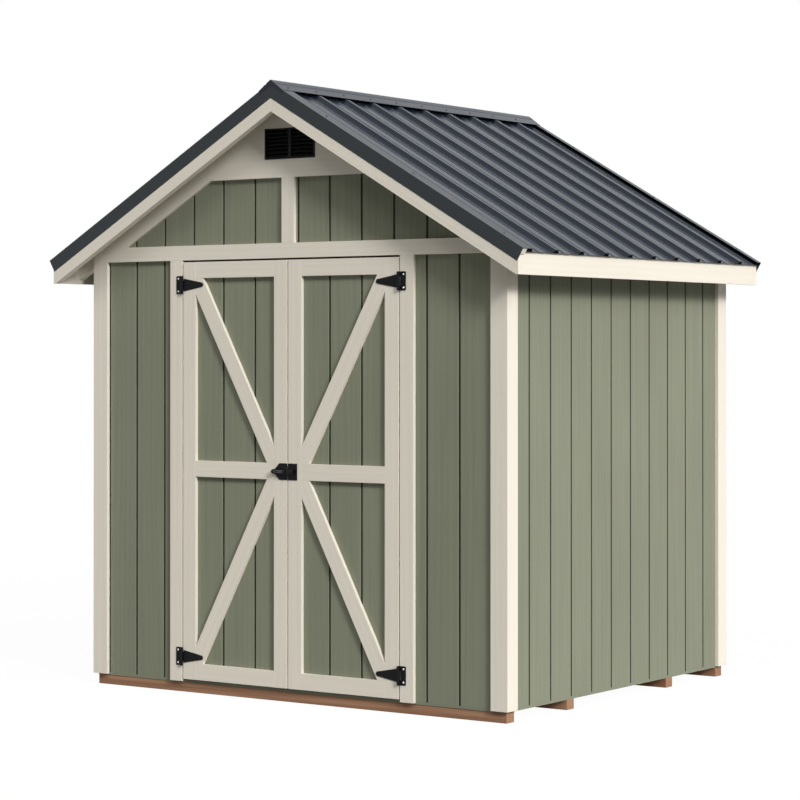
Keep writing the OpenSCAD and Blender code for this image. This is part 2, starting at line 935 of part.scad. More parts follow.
skids();
floor_deck();
front_wall_left();
front_wall_right();
front_gable();
left_wall();
right_wall();
back_wall();
side_plates();
end_plates();
side_studs();
end_studs();
door_header();
ridge_board();
rafters();
eave_blocks();
roof_deck_left();
roof_deck_right();
roof_metal_left();
roof_metal_right();
ridge_cap();
rake_trims();
rake_boards();
eave_fascias();
corner_trims();
door_casings();
header_band();
front_gable_post();
front_peak_board();
gable_friezes();
back_batten();
back_peak_board();
gable_vent();
left_door_panel();
left_door_stiles();
left_door_rails();
left_door_braces();
right_door_panel();
right_door_stiles();
right_door_rails();
right_door_braces();
hinge_plates();
left_hinge_straps();
right_hinge_straps();
latch_case();
latch_bolt();
latch_catch();
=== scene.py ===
"""Looks of a gable garden shed: painted grooved boarding and trim boards, bare framing
inside, a ribbed metal roof, black hinges, latch and louvre. Metres and degrees."""

import math
import random

import bmesh
import bpy
from mathutils import Matrix, Vector

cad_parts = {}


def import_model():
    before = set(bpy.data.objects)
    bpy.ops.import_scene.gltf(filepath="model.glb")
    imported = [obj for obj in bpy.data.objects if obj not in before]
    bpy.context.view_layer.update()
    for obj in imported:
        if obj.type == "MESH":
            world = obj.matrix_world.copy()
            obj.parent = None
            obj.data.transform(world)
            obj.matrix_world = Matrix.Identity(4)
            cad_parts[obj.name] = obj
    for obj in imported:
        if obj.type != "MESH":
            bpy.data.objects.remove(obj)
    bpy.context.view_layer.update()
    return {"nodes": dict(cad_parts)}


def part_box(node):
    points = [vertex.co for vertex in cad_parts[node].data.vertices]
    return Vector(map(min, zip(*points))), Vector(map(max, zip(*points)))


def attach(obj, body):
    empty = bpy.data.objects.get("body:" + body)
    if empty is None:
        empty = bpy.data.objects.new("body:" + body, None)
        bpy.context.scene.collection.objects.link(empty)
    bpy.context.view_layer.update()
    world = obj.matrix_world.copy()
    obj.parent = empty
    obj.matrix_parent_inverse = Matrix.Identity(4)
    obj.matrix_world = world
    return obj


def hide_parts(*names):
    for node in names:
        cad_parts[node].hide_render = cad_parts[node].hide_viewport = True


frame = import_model()

X, Y, Z = Vector((1, 0, 0)), Vector((0, 1, 0)), Vector((0, 0, 1))
UP, OUT_FRONT, OUT_BACK = Z, -Y, Y

# ---- Places, from the frame ----

trim_low, trim_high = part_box("corner_trims")
front_face = trim_low.y                     # outer face of the trim on the front
back_face = trim_high.y
siding_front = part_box("front_gable")[0].y   # outer face of the boarding on the front
siding_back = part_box("back_wall")[1].y
siding_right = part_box("right_wall")[1].x
siding_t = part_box("front_gable")[1].y - siding_front
trim_t = siding_front - front_face
door_x = sum(end.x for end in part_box("header_band")) / 2     # middle of the doorway

# ---- Sizes ----

WELD = 1e-5             # vertices closer than this are one
FLAT = math.radians(1)  # faces closer to one plane than this are one
EASE = 0.001            # round on the edges of a board
SAWN_EASE = 0.0012      # round on the edges of a sawn timber
FOLD_EASE = 0.0008      # round on the folds of the metal trims and on the louvre
IRON_EASE = 0.0007      # round on the edges of hinges and latch

GROOVE_STEP = 0.1855    # from one groove in the boarding to the next
GROOVE_W = 0.0135       # width of a groove at the face
GROOVE_LIP = 0.0016     # slope on each of its edges, which the paint covers
GROOVE_FOOT_W = 0.009   # width of a groove at its bottom
GROOVE_DEPTH = 0.007
GROOVE_FIRST_RIGHT = 0.045    # first groove to the right of the middle
GROOVE_FIRST_LEFT = -0.031    # first groove to the left of it
GROOVE_JOINT = 0.009          # how much wider the second step to the left is, at a joint
GROOVE_FIRST_SIDE = 0.2165    # first groove on a side wall, from the front trim
GROOVE_BY_DOOR = 0.785        # first groove beside the doorway, from its middle
GROOVE_BY_DOOR_STEP = 0.1795
CLEAR = 0.001           # how far a cutter runs past what it cuts
KERF = 0.0005           # open joint between two boards nailed together

# ---- Mesh helpers ----


def solid(*names):
    """Welded copy of CAD nodes, with each flat face in one piece."""
    bm = bmesh.new()
    for name in names:
        bm.from_mesh(frame["nodes"][name].data)
    bmesh.ops.remove_doubles(bm, verts=bm.verts, dist=WELD)
    bmesh.ops.dissolve_limit(bm, angle_limit=FLAT, verts=bm.verts, edges=bm.edges)
    return bm


def islands(bm):
    """Lists of the faces of each loose part."""
    left = set(bm.faces)
    found = []
    for seed in list(bm.faces):
        if seed not in left:
            continue
        left.discard(seed)
        part = [seed]
        for face in part:
            for edge in face.edges:
                for other in edge.link_faces:
                    if other in left:
                        left.discard(other)
                        part.append(other)
        found.append(part)
    return found


def ease(bm, width, segments=2, least=25, most=180):
    """Rounds the edges whose faces turn by an angle between these, in degrees."""
    edges = [
        e for e in bm.edges
        if e.is_manifold and least < math.degrees(e.calc_face_angle(0)) < most
    ]
    bmesh.ops.bevel(
        bm, geom=edges, offset=width, offset_type="OFFSET", segments=segments,
        profile=0.5, affect="EDGES", clamp_overlap=True,
    )
    return bm


def box_mesh(low, high):
    """Mesh of a box between two corners."""
    bm = bmesh.new()
    low, high = Vector(low), Vector(high)
    size = Matrix.Diagonal((*(high - low), 1))
    bmesh.ops.create_cube(bm, size=1, matrix=Matrix.Translation((low + high) / 2) @ size)
    return bm


def join(parts):
    """One mesh out of several, which are used up."""
    bm = bmesh.new()
    for part in parts:
        mesh = bpy.data.meshes.new("part")
        part.to_mesh(mesh)
        part.free()
        bm.from_mesh(mesh)
        bpy.data.meshes.remove(mesh)
    return bm


def cut(bm, cutter):
    """Takes one solid away from another. Both are used up."""
    made = []
    for source in (bm, cutter):
        mesh = bpy.data.meshes.new("cutting")
        source.to_mesh(mesh)
        source.free()
        body = bpy.data.objects.new("cutting", mesh)
        bpy.context.scene.collection.objects.link(body)
        made.append(body)
    body, tool = made
    modifier = body.modifiers.new("cut", "BOOLEAN")
    modifier.operation = "DIFFERENCE"
    modifier.solver = "EXACT"
    modifier.object = tool
    seen = body.evaluated_get(bpy.context.evaluated_depsgraph_get())
    result = bmesh.new()
    mesh = bpy.data.meshes.new_from_object(seen)
    result.from_mesh(mesh)
    for used in made:
        mesh_used = used.data
        bpy.data.objects.remove(used)
        bpy.data.meshes.remove(mesh_used)
    bpy.data.meshes.remove(mesh)
    bmesh.ops.remove_doubles(result, verts=result.verts, dist=WELD / 10)
    return result


def prism(outline, direction, origin, across, out):
    """Solid on an outline of (across, out) points, swept from origin along direction."""
    bm = bmesh.new()
    rings = []
    for start in (origin, origin + direction):
        rings.append([bm.verts.new(start + a * across + b * out) for a, b in outline])
    count = len(outline)
    bm.faces.new(rings[0])
    bm.faces.new(rings[1])
    for i in range(count):
        j = (i + 1) % count
        bm.faces.new((rings[0][i], rings[0][j], rings[1][j], rings[1][i]))
    bmesh.ops.recalc_face_normals(bm, faces=bm.faces)
    return bm


def lathe(profile, segments):
    """Solid turned about Z from (radius, height) points. Its ends close on the axis."""
    bm = bmesh.new()
    rings = []
    for radius, height in profile:
        rings.append([
            bm.verts.new((
                radius * math.cos(2 * math.pi * i / segments),
                radius * math.sin(2 * math.pi * i / segments),
                height,
            ))
            for i in range(segments)
        ])
    bm.faces.new(rings[0][::-1])
    bm.faces.new(rings[-1])
    for low, high in zip(rings, rings[1:]):
        for i in range(segments):
            j = (i + 1) % segments
            bm.faces.new((low[i], low[j], high[j], high[i]))
    return bm


def copies(template, places):
    """One mesh with the template at each matrix. The template is used up."""
    parts = []
    for place in places:
        part = template.copy()
        part.transform(place)
        parts.append(part)
    template.free()
    return join(parts)


def facing(point, normal, turn=0.0):
    """Matrix that stands a part made along Z on a surface at a point."""
    rotation = normal.to_track_quat("Z", "Y").to_matrix().to_4x4()
    return Matrix.Translation(point) @ rotation @ Matrix.Rotation(turn, 4, "Z")


def write_grain(bm, name, along=None):
    """Gives each loose part its own axes: along its longest edge, across it and through
    it, with a place of its own in the pattern."""
    draw = random.Random(name)
    layer = bm.verts.layers.float_vector.new("grain")
    for part in islands(bm):
        if along is None:
            edges = {e for f in part for e in f.edges}
            longest = max(edges, key=lambda e: e.calc_length())
            first = (longest.verts[1].co - longest.verts[0].co).normalized()
        else:
            first = along
        widest = max(part, key=lambda f: f.calc_area() * (1 - abs(f.normal.dot(first))))
        third = widest.normal
        second = third.cross(first)
        shift = Vector([draw.uniform(0, 40) for _ in range(3)])
        for vert in {v for f in part for v in f.verts}:
            co = vert.co
            vert[layer] = Vector((co.dot(first), co.dot(second), co.dot(third))) + shift


def add_piece(name, bm, body, materials, replaces=(), along=None, smooth=45):
    """Turns a mesh into a piece of the shed that rides on a body."""
    write_grain(bm, name, along)
    mesh = bpy.data.meshes.new(name)
    bm.to_mesh(mesh)
    bm.free()
    for material in materials:
        mesh.materials.append(material)
    mesh.polygons.foreach_set("use_smooth", [True] * len(mesh.polygons))
    mesh.set_sharp_from_angle(angle=math.radians(smooth))
    piece = bpy.data.objects.new(name, mesh)
    bpy.context.scene.collection.objects.link(piece)
    weighted = piece.modifiers.new("flat faces stay flat", "WEIGHTED_NORMAL")
    weighted.keep_sharp = True
    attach(piece, body)
    if replaces:
        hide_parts(*replaces)
    return piece


# ---- Materials ----


class Recipe:
    """A material under construction, with short calls for the nodes that it uses."""

    def __init__(self, name):
        self.material = bpy.data.materials.new(name)
        self.material.use_nodes = True
        self.tree = self.material.node_tree
        self.shader = self.tree.nodes["Principled BSDF"]

    def node(self, kind, inputs=None, **settings):
        node = self.tree.nodes.new(kind)
        for key, value in settings.items():
            setattr(node, key, value)
        for key, value in (inputs or {}).items():
            if isinstance(value, bpy.types.NodeSocket):
                self.tree.links.new(value, node.inputs[key])
            else:
                node.inputs[key].default_value = value
        return node

    def grain(self, scale):
        """Coordinates along, across and through a board, each times a scale."""
        source = self.node("ShaderNodeAttribute", attribute_name="grain")
        return self.node(
            "ShaderNodeMapping", {"Vector": source.outputs["Vector"], "Scale": scale}
        ).outputs["Vector"]

    def noise(self, vector, detail=3.0, roughness=0.55, distortion=0.0):
        inputs = {
            "Vector": vector, "Scale": 1.0, "Detail": detail, "Roughness": roughness,
            "Distortion": distortion,
        }
        return self.node("ShaderNodeTexNoise", inputs).outputs["Fac"]

    def bands(self, vector, distortion):
        inputs = {
            "Vector": vector, "Scale": 1.0, "Distortion": distortion, "Detail": 3.0,
            "Detail Scale": 1.0, "Detail Roughness": 0.5,
        }
        return self.node(
            "ShaderNodeTexWave", inputs, wave_type="BANDS", bands_direction="Y"
        ).outputs["Fac"]

    def stretch(self, value, low, high, to_low=0.0, to_high=1.0):
        inputs = {
            "Value": value, "From Min": low, "From Max": high, "To Min": to_low,
            "To Max": to_high,
        }
        return self.node("ShaderNodeMapRange", inputs, clamp=True).outputs["Result"]

    def maths(self, operation, a, b):
        return self.node("ShaderNodeMath", {0: a, 1: b}, operation=operation).outputs[0]

    def blend(self, factor, first, second, kind="MIX"):
        """Mix of two colours. The first two outputs of the node are for numbers."""
        node = self.tree.nodes.new("ShaderNodeMix")
        node.data_type = "RGBA"
        node.blend_type = kind
        for socket, value in zip((node.inputs[0], node.inputs[6], node.inputs[7]),
                                 (factor, first, second)):
            if isinstance(value, bpy.types.NodeSocket):
                self.tree.links.new(value, socket)
            else:
                socket.default_value = value
        return node.outputs[2]

    def relief(self, height, distance):
        """Bump of this height in metres."""
        inputs = {"Height": height, "Distance": distance, "Strength": 1.0}
        normal = self.node("ShaderNodeBump", inputs).outputs["Normal"]
        self.tree.links.new(normal, self.shader.inputs["Normal"])

    def finish(self, colour, roughness, specular, ior=1.45, metallic=0.0, gloss_tint=None):
        for key, value in (("Base Color", colour), ("Roughness", roughness)):
            if isinstance(value, bpy.types.NodeSocket):
                self.tree.links.new(value, self.shader.inputs[key])
            else:
                self.shader.inputs[key].default_value = value
        self.shader.inputs["Specular IOR Level"].default_value = specular
        self.shader.inputs["IOR"].default_value = ior
        self.shader.inputs["Metallic"].default_value = metallic
        if gloss_tint:
            self.shader.inputs["Specular Tint"].default_value = (*gloss_tint, 1)
        return self.material


def tint(colour, factor):
    """A colour made lighter or darker, as a socket wants it."""
    return (*[min(1.0, c * factor) for c in colour], 1.0)


def painted_board(name, colour, streak, relief, roughness, specular=0.15):
    """Paint over wood whose grain still shows as fine ridges along the board."""
    recipe = Recipe(name)
    fine = recipe.noise(recipe.grain((1.6, 95, 95)), detail=4, roughness=0.6)
    broad = recipe.noise(recipe.grain((0.9, 26, 26)), detail=3, distortion=0.6)
    cloud = recipe.noise(recipe.grain((1.1, 2.2, 2.2)), detail=2)
    waves = recipe.bands(recipe.grain((0.55, 9, 9)), 9)
    grain = recipe.maths("ADD", recipe.maths("MULTIPLY", fine, 0.55),
                         recipe.maths("MULTIPLY", broad, 0.30))
    grain = recipe.maths("ADD", grain, recipe.maths("MULTIPLY", waves, 0.15))
    shade = recipe.stretch(grain, 0.30, 0.70)
    base = recipe.blend(shade, tint(colour, 1 - streak), tint(colour, 1 + streak))
    lit = recipe.stretch(cloud, 0.3, 0.7, 1 - streak / 2, 1 + streak / 2)
    base = recipe.blend(1.0, base, recipe.node(
        "ShaderNodeCombineColor", {"Red": lit, "Green": lit, "Blue": lit}
    ).outputs["Color"], "MULTIPLY")
    recipe.relief(grain, relief)
    sheen = recipe.stretch(fine, 0.3, 0.7, roughness + 0.05, roughness - 0.05)
    return recipe.finish(base, sheen, specular)


def bare_timber(name, light, dark, rings=34):
    """Sawn wood with growth rings along the board and speckled ends."""
    recipe = Recipe(name)
    fine = recipe.noise(recipe.grain((6, 240, 240)), detail=4, roughness=0.65)
    waves = recipe.bands(recipe.grain((0.7, rings, rings)), 7)
    cloud = recipe.noise(recipe.grain((0.8, 5, 5)), detail=3)
    mixed = recipe.maths("ADD", recipe.maths("MULTIPLY", fine, 0.5),
                         recipe.maths("MULTIPLY", waves, 0.3))
    mixed = recipe.maths("ADD", mixed, recipe.maths("MULTIPLY", cloud, 0.4))
    shade = recipe.stretch(mixed, 0.38, 0.80)
    base = recipe.blend(shade, (*dark, 1), (*light, 1))
    recipe.relief(mixed, 0.0006)
    return recipe.finish(base, 0.75, 0.3)


def sheet_timber(name, light, dark):
    """Plywood, with broad soft figure."""
    recipe = Recipe(name)
    fine = recipe.noise(recipe.grain((9, 160, 160)), detail=4, roughness=0.6)
    figure = recipe.bands(recipe.grain((0.8, 5, 5)), 10)
    mixed = recipe.maths("ADD", recipe.maths("MULTIPLY", fine, 0.5),
                         recipe.maths("MULTIPLY", figure, 0.5))
    base = recipe.blend(recipe.stretch(mixed, 0.3, 0.75), (*dark, 1), (*light, 1))
    recipe.relief(mixed, 0.0003)
    return recipe.finish(base, 0.7, 0.3)


def painted_steel(name, colour, roughness, ior, gloss_tint, bloom):
    """Satin coil paint on sheet steel, with faint streaks down the slope. Its bloom is the
    bluish film that shows along the surface."""
    recipe = Recipe(name)
    fine = recipe.noise(recipe.grain((300, 300, 300)), detail=2)
    broad = recipe.noise(recipe.grain((1.2, 14, 14)), detail=4)
    shade = recipe.stretch(broad, 0.3, 0.7)
    base = recipe.blend(shade, tint(colour, 0.92), tint(colour, 1.08))
    rough = recipe.stretch(broad, 0.3, 0.7, roughness - 0.03, roughness + 0.05)
    recipe.relief(fine, 0.00004)
    recipe.shader.inputs["Sheen Weight"].default_value = 0.12
    recipe.shader.inputs["Sheen Roughness"].default_value = 0.4
    recipe.shader.inputs["Sheen Tint"].default_value = (*bloom, 1)
    return recipe.finish(base, rough, 0.5, ior=ior, gloss_tint=gloss_tint)


def moulded(name, colour, roughness, ior=1.4, specular=0.25):
    """Fine-textured black plastic or powder coat."""
    recipe = Recipe(name)
    speckle = recipe.noise(recipe.grain((900, 900, 900)), detail=2)
    base = recipe.blend(speckle, tint(colour, 0.8), tint(colour, 1.2))
    recipe.relief(speckle, 0.00008)
    rough = recipe.stretch(speckle, 0.3, 0.7, roughness - 0.06, roughness + 0.06)
    return recipe.finish(base, rough, specular, ior=ior)


def bright_metal(name, colour, roughness):
    """Plated steel, lightly brushed."""
    recipe = Recipe(name)
    brushed = recipe.noise(recipe.grain((200, 1500, 1500)), detail=2)
    base = recipe.blend(brushed, tint(colour, 0.9), tint(colour, 1.1))
    rough = recipe.stretch(brushed, 0.3, 0.7, roughness - 0.06, roughness + 0.06)
    return recipe.finish(base, rough, 0.5, metallic=1.0)


SIDING_COLOUR = (0.234, 0.243, 0.176)
GROOVE_SHADE_COLOUR = (0.05, 0.053, 0.037)    # painted shade: dark colour for the shadow down in a groove
TRIM_COLOUR = (0.812, 0.748, 0.643)
STEEL_COLOUR = (0.006, 0.008, 0.0125)
STEEL_GLOSS = (0.8, 0.9, 1.0)
STEEL_BLOOM = (0.3, 0.55, 1.0)
EDGE_COLOUR = (0.0115, 0.0145, 0.0155)
EDGE_GLOSS = (0.9, 0.97, 1.0)
EDGE_BLOOM = (0.4, 0.65, 1.0)

siding_paint = painted_board("siding_paint", SIDING_COLOUR, 0.075, 0.0006, 0.62)
# painted shade: the walls and bottom of the grooves get this dark colour for the shadow in them
groove_shade = painted_board("groove_shade", GROOVE_SHADE_COLOUR, 0.07, 0.0003, 0.8)
trim_paint = painted_board("trim_paint", TRIM_COLOUR, 0.032, 0.0005, 0.5, 0.5)
skid_timber = bare_timber("skid_timber", (0.40, 0.225, 0.135), (0.25, 0.125, 0.07))
framing_timber = bare_timber("framing_timber", (0.66, 0.49, 0.30), (0.46, 0.29, 0.15), rings=55)
deck_board = sheet_timber("deck_board", (0.56, 0.42, 0.27), (0.40, 0.27, 0.16))
board_back = sheet_timber("board_back", (0.33, 0.22, 0.13), (0.24, 0.15, 0.09))
roof_steel = painted_steel("roof_steel", STEEL_COLOUR, 0.26, 1.39, STEEL_GLOSS, STEEL_BLOOM)
edge_steel = painted_steel("edge_steel", EDGE_COLOUR, 0.34, 1.42, EDGE_GLOSS, EDGE_BLOOM)
black_steel = moulded("black_steel", (0.006, 0.006, 0.007), 0.45, 1.3)
bolt_steel = moulded("bolt_steel", (0.02, 0.021, 0.024), 0.3, 1.5, 0.5)
vent_plastic = moulded("vent_plastic", (0.007, 0.007, 0.008), 0.5, 1.3)
# painted shade: near-black fill put into the hollows of the rib ends and under the back trims
black_shade_fill = moulded("black_shade_fill", (0.004, 0.004, 0.004), 0.95, 1.1)
screw_zinc = bright_metal("screw_zinc", (0.72, 0.71, 0.69), 0.4)

# ---- Boarding ----


def groove(place, out, low_z, high_z):
    """Cutter for one groove, upright at a place on the face of a wall."""
    half, foot = GROOVE_W / 2, GROOVE_FOOT_W / 2
    neck = half - GROOVE_LIP
    right = [(foot, -GROOVE_DEPTH), (neck, -GROOVE_LIP), (half + CLEAR, CLEAR)]
    outline = [(-across, out_by) for across, out_by in right[::-1]] + right
    origin = Vector((place.x, place.y, low_z))
    return prism(outline, Vector((0, 0, high_z - low_z)), origin, UP.cross(out), out)


def steps(first, last, step):
    """Places from first towards last, a step apart."""
    count = int(abs(last - first) / step) + 1
    return [first + math.copysign(step, last - first) * i for i in range(count)]


def end_wall_grooves(face_y):
    """Places of the grooves on the front gable, the back and the doors."""
    across = steps(GROOVE_FIRST_RIGHT, siding_right, GROOVE_STEP)
    left = steps(GROOVE_FIRST_LEFT, -siding_right, GROOVE_STEP)
    across += left[:2] + [x - GROOVE_JOINT for x in left[2:]]
    return [Vector((x, face_y, 0)) for x in across]


def doorway_grooves(face_y):
    """Places of the grooves on the narrow panels beside the doorway."""
    right = steps(GROOVE_BY_DOOR, siding_right, GROOVE_BY_DOOR_STEP)
    return [Vector((door_x + side * x, face_y, 0)) for side in (-1, 1) for x in right]


def side_wall_grooves(face_x):
    """Places of the grooves on a side wall."""
    start = front_face + GROOVE_FIRST_SIDE
    return [Vector((face_x, y, 0)) for y in steps(start, siding_back, GROOVE_STEP)]


def boarding(node, body, out):
    """A panel of grooved boarding, painted outside and bare inside, with painted shade on the walls
    and bottom of each groove.
    """
    low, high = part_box(node)
    if out.x:
        face = high.x if out.x > 0 else low.x
        places = [p for p in side_wall_grooves(face) if low.y + GROOVE_W < p.y < high.y - GROOVE_W]
    else:
        face = high.y if out.y > 0 else low.y
        layout = doorway_grooves if node.startswith("front_wall") else end_wall_grooves
        places = [p for p in layout(face) if low.x + GROOVE_W < p.x < high.x - GROOVE_W]
    cutters = [groove(p, out, low.z - CLEAR, high.z + CLEAR) for p in places]
    bm = cut(solid(node), join(cutters))
    # A groove's walls and bottom lie deeper than its lip. The panel's own upright edges are
    # told from them by their middle, which is at half of the thickness.
    surface = max(v.co.dot(out) for v in bm.verts)
    # Inner faces are bare; a groove's walls and bottom get the dark colour of painted shade.
    for face in bm.faces:
        depth = surface - face.calc_center_median().dot(out)
        in_groove = GROOVE_LIP < depth < GROOVE_DEPTH + CLEAR and len(face.verts) == 4
        if face.normal.dot(out) < -0.5:
            face.material_index = 1
        elif in_groove and abs(face.normal.z) < 0.1 and abs(depth - siding_t / 2) > CLEAR / 10:
            face.material_index = 2
    add_piece(node + "_grooved", bm, body,
              [siding_paint, board_back, groove_shade], [node], along=Z, smooth=20)


def all_boarding():
    for node in ("front_wall_left", "front_wall_right", "front_gable"):
        boarding(node, "shed", OUT_FRONT)
    boarding("back_wall", "shed", OUT_BACK)
    boarding("right_wall", "shed", X)
    boarding("left_wall", "shed", -X)
    boarding("left_door_panel", "left_door", OUT_FRONT)
    boarding("right_door_panel", "right_door", OUT_FRONT)


# ---- Boards and timbers ----


def boards(node, body, material, width=EASE):
    """The boards of a CAD node with eased edges and a grain each."""
    add_piece(node + "_boards", ease(solid(node), width), body, [material], [node])


def corner_boards():
    """Corner trims as two boards each: one on the end wall, over the edge of the other."""
    slabs = []
    for side in (-1, 1):
        inner, outer = sorted((side * (siding_right - CLEAR), side * (trim_high.x + CLEAR)))
        for y in (front_face + trim_t, back_face - trim_t - KERF):
            slabs.append(box_mesh((inner, y, trim_low.z - CLEAR),
                                  (outer, y + KERF, trim_high.z + CLEAR)))
    bm = cut(solid("corner_trims"), join(slabs))
    bmesh.ops.dissolve_limit(bm, angle_limit=FLAT, verts=bm.verts, edges=bm.edges)
    add_piece("corner_trims_boards", ease(bm, EASE), "shed", [trim_paint],
              ["corner_trims"])


def all_trim():
    corner_boards()
    fixed = ("rake_boards", "eave_fascias", "door_casings", "header_band",
             "front_gable_post", "front_peak_board", "gable_friezes", "back_batten",
             "back_peak_board")
    for node in fixed:
        boards(node, "shed", trim_paint)
    for leaf in ("left_door", "right_door"):
        for part in ("stiles", "rails", "braces"):
            boards(f"{leaf}_{part}", leaf, trim_paint)


def floor():
    """Floor deck: bare sheet on its faces, painted on its edges."""
    bm = solid("floor_deck")
    for face in bm.faces:
        face.material_index = 0 if abs(face.normal.z) > 0.5 else 1
    add_piece("floor_deck_sheet", bm, "shed", [deck_board, siding_paint],
              ["floor_deck"])


def overhanging(node, material, paint):
    """Boards that are bare over the walls and inside, and painted where they overhang."""
    bm = ease(solid(node), SAWN_EASE)
    planes = ((siding_right, X), (-siding_right, X), (siding_front, Y), (siding_back, Y))
    for place, out in planes:
        bmesh.ops.bisect_plane(bm, geom=[*bm.verts, *bm.edges, *bm.faces],
                               plane_co=out * place, plane_no=out)
    for face in bm.faces:
        middle = face.calc_center_median()
        outside = abs(middle.x) > siding_right or not siding_front < middle.y < siding_back
        face.material_index = 1 if outside else 0
    add_piece(node + "_boards", bm, "shed", [material, paint], [node])


def all_timber():
    boards("skids", "shed", skid_timber, SAWN_EASE)
    for node in ("side_plates", "end_plates", "side_studs", "end_studs", "door_header",
                 "ridge_board"):
        boards(node, "shed", framing_timber, SAWN_EASE)
    overhanging("rafters", framing_timber, trim_paint)
    overhanging("eave_blocks", framing_timber, siding_paint)
    for node in ("roof_deck_left", "roof_deck_right"):
        overhanging(node, deck_board, siding_paint)
    floor()


# ---- Screws ----

HEX_WASHER = [(0.005, 0), (0.005, 0.0006), (0.004, 0.001), (0.0032, 0.001)]
HEX_R = 0.0033
HEX_TOP = 0.0026        # height of a roof screw over the sheet
HEX_CHAMFER = 0.0006    # height of the slope round its top
HEX_SINK = 0.0001       # how far it starts below the top of its washer
PAN_R = 0.0048          # radius of a hinge screw's head
PAN_H = 0.0022
PAN_SINK = 0.0004       # how far it starts below the face it is driven into


def roof_screw():
    """Hexagon head on a washer."""
    head = [(HEX_R, HEX_WASHER[-1][1] - HEX_SINK), (HEX_R, HEX_TOP - HEX_CHAMFER),
            (HEX_R * 0.83, HEX_TOP)]
    return join([lathe(HEX_WASHER, 20), lathe(head, 6)])


def pan_screw():
    """Low domed head with a crossed recess."""
    turns = [(PAN_R * math.cos(a), PAN_H * math.sin(a))
             for a in (math.radians(d) for d in (0, 25, 50, 75))]
    head = lathe([(PAN_R, -PAN_SINK), *turns], 24)
    arm, half = PAN_R * 0.6, PAN_R * 0.12
    low, high = PAN_H * 0.45, PAN_H * 2
    cross = [box_mesh((-arm, -half, low), (arm, half, high)),
             box_mesh((-half, -arm, low), (half, arm, high))]
    return cut(cut(head, cross[0]), cross[1])


def add_screws(name, template, body, material, spots):
    """Screws at (point, normal) spots, each with a turn of its own."""
    draw = random.Random(name)
    places = [facing(point, normal, draw.uniform(0, math.pi)) for point, normal in spots]
    add_piece(name, copies(template, places), body, [material], smooth=35)


# ---- Roof ----

SHEET_FOLD_R = 0.007    # length of a fold in the sheets, on each side of it
CREASE_HALF_W = 0.004   # half width of the crease along each fold of the ridge cap
CREASE_DEPTH = 0.004
RIB_REACH = 0.03        # half of the width in which a rib stands, with its feet
PAN_SCREW_ROWS = (0.05, 0.48, 0.93)     # shares of the way from the eave to the ridge
PAN_SCREW_ASIDE = 0.038  # from the middle of a rib to the screws in front of it
TRIM_SCREW_ROWS = (0.09, 0.45, 0.81)
TRIM_SCREW_IN = 0.045   # from the outer edge of a rake trim
RIB_SHADE_OUT = 0.0004    # how far the black fills of painted shade in the rib ends show past the edge of the sheet
RIB_SHADE_LONG = 0.03
SHADE_FILL_IN = 0.005         # the black fill of painted shade under a back trim stands back from the trim's edge
PLUG_OUT = 0.0015       # the blocks under the front trims stand past the sheet's edge
PLUG_LONG = 0.03
PLUG_DROP = 0.012       # how far they reach below the sheet


class Slope:
    """One side of the roof: 1 on the right and -1 on the left. A place on it is so far
    down the slope, along the ridge and out from the ridge's plane."""

    def __init__(self, side):
        self.side = side
        deck = solid("roof_deck_right" if side > 0 else "roof_deck_left")
        top = max(deck.faces, key=lambda f: f.calc_area() * (f.normal.z > 0))
        self.normal = top.normal.copy()
        deck.free()
        self.down = Y.cross(self.normal) * side
        bm = solid("roof_metal_right" if side > 0 else "roof_metal_left")
        runs = [v.co.dot(self.down) for v in bm.verts]
        self.eave, self.top = max(runs), min(runs)
        ends = sorted((round(v.co.y, 5), v.co.dot(self.normal)) for v in bm.verts
                      if v.co.dot(self.down) > self.eave - WELD * 10)
        bm.free()
        # (y, underside, upper side) along the section of the sheet
        self.section = [(a[0], a[1], b[1]) for a, b in zip(ends[::2], ends[1::2])]
        self.pan = self.section[0][2]
        self.sheet_t = self.section[0][2] - self.section[0][1]
        crown = max(high for y, low, high in self.section)
        crests = [y for y, low, high in self.section if crown - high < WELD * 10]
        self.ribs = [(a + b) / 2 for a, b in zip(crests[::2], crests[1::2])]

    def place(self, run, y, lift):
        return self.down * run + Y * y + self.normal * lift

    def share(self, part):
        """Run down the slope at this share of the way from the eave to the ridge."""
        return self.eave + (self.top - self.eave) * part


def roof_sheets():
    for node in ("roof_metal_right", "roof_metal_left"):
        bm = ease(solid(node), SHEET_FOLD_R, segments=3, least=5, most=85)
        add_piece(node + "_sheet", bm, "shed", [roof_steel], [node], smooth=60)


def creased_cap():
    """The ridge cap with a narrow crease pressed into it along each of its folds."""
    bm = solid("ridge_cap")
    half_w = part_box("ridge_cap")[1].x
    fold = max(abs(v.co.x) for v in bm.verts if abs(v.co.x) < half_w * 0.8)
    for place in (fold - CREASE_HALF_W, fold + CREASE_HALF_W):
        for side in (-1, 1):
            bmesh.ops.bisect_plane(bm, geom=[*bm.verts, *bm.edges, *bm.faces],
                                   plane_co=X * side * place, plane_no=X)
    for vert in bm.verts:
        if abs(abs(vert.co.x) - fold) < CREASE_HALF_W / 10:
            vert.co.z -= CREASE_DEPTH
    return bm


def metal_edges():
    bm = ease(solid("rake_trims"), FOLD_EASE)
    add_piece("rake_trims_folded", bm, "shed", [edge_steel], ["rake_trims"])
    add_piece("ridge_cap_folded", creased_cap(), "shed", [roof_steel],
              ["ridge_cap"], smooth=12)


def rib_closures(slopes):
    """Black fill in the open ends of the ribs at the eaves, as painted shade for their dark
    hollows.
    """
    plugs = []
    for slope in slopes:
        for rib in slope.ribs:
            outline = [(y - rib, low) for y, low, high in slope.section if abs(y - rib) < RIB_REACH]
            start = slope.place(slope.eave + RIB_SHADE_OUT, rib, 0)
            plugs.append(prism(outline, -slope.down * RIB_SHADE_LONG, start, Y, slope.normal))
    add_piece("rib_closures", join(plugs), "shed", [black_shade_fill])


